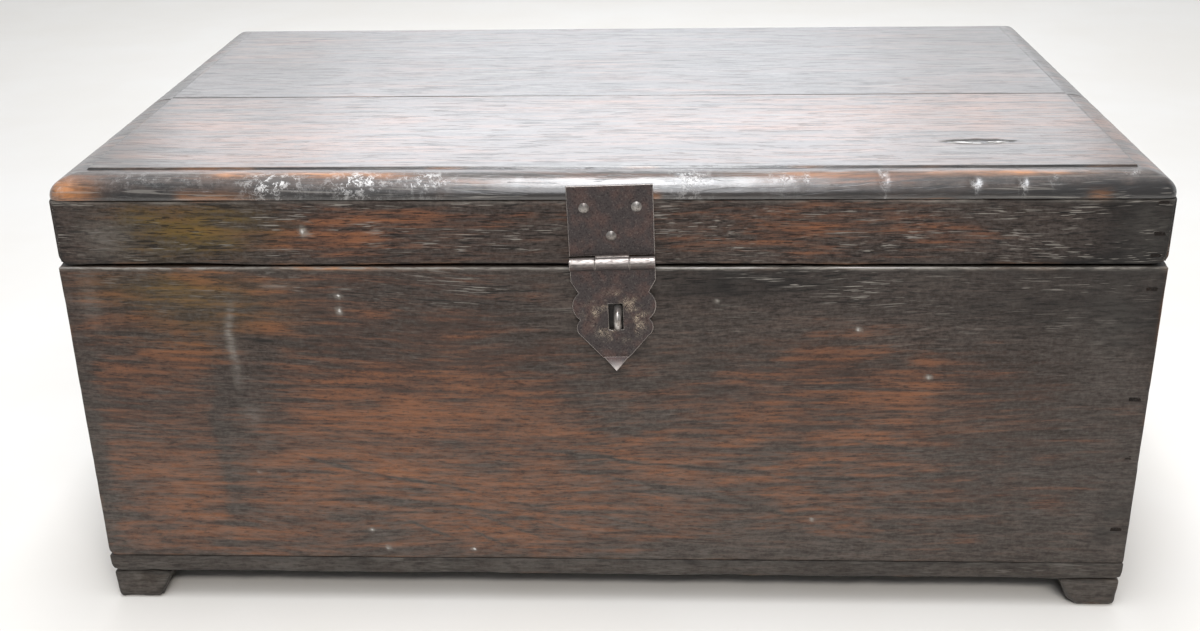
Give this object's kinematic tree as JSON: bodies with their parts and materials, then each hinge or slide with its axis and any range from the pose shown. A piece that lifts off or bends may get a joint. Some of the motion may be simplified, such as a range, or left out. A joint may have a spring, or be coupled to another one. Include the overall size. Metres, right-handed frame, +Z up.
{
  "type": "cash chest",
  "caption": "Low rectangular wooden chest on block feet, with a framed, moulded lid hinged at the back and closed by an iron hasp over a staple.",
  "frame": {"origin": "on the floor, under the middle of the object's box, lid shut", "axes": "+X to the right as seen from the hasp's side, +Y to the back where the hinges are, +Z up"},
  "size_m": [0.61, 0.4042, 0.272],
  "materials": {
    "dark_teak": "dark, worn and oiled old teak with a low sheen",
    "patinated_iron": "brown-black patinated sheet iron with bright worn edges",
    "worn_steel": "bright drawn wire, dulled by handling"
  },
  "bodies": {
    "chest_body": {"front_board": "dark_teak", "back_board": "dark_teak", "left_end_board": "dark_teak", "right_end_board": "dark_teak", "bottom_plank_front": "dark_teak", "bottom_plank_back": "dark_teak", "foot_front_left": "dark_teak", "foot_front_right": "dark_teak", "foot_back_left": "dark_teak", "foot_back_right": "dark_teak", "body_nails_front": "patinated_iron", "body_nails_back": "patinated_iron", "bottom_nails": "patinated_iron", "foot_nails": "patinated_iron", "staple": "worn_steel", "hinge_left_body_leaf": "patinated_iron", "hinge_right_body_leaf": "patinated_iron", "hinge_left_pin": "patinated_iron", "hinge_right_pin": "patinated_iron", "hinge_nails_body": "patinated_iron"},
    "lid": {"lid_top_plank_front": "dark_teak", "lid_top_plank_back": "dark_teak", "lid_front_rail": "dark_teak", "lid_back_rail": "dark_teak", "lid_left_rail": "dark_teak", "lid_right_rail": "dark_teak", "lid_pegs": "dark_teak", "lid_nails_front": "patinated_iron", "lid_nails_back": "patinated_iron", "hinge_left_lid_leaf": "patinated_iron", "hinge_right_lid_leaf": "patinated_iron", "hinge_nails_lid": "patinated_iron", "hasp_leaf": "patinated_iron", "hasp_pin": "patinated_iron", "hasp_nails": "patinated_iron"},
    "hasp": {"hasp_flap": "patinated_iron"}
  },
  "joints": [
    {"name": "lid_hinge", "type": "hinge", "parent": "chest_body", "child": "lid", "pos_m": [0, 0.19845, 0.22025], "axis": [-1, 0, 0], "range_deg": [0, 180]},
    {"name": "hasp_swing", "type": "hinge", "parent": "lid", "child": "hasp", "pos_m": [0.0045, -0.19447, 0.2236], "axis": [-0.9996, 0, -0.0279], "range_deg": [0, 180]}
  ]
}
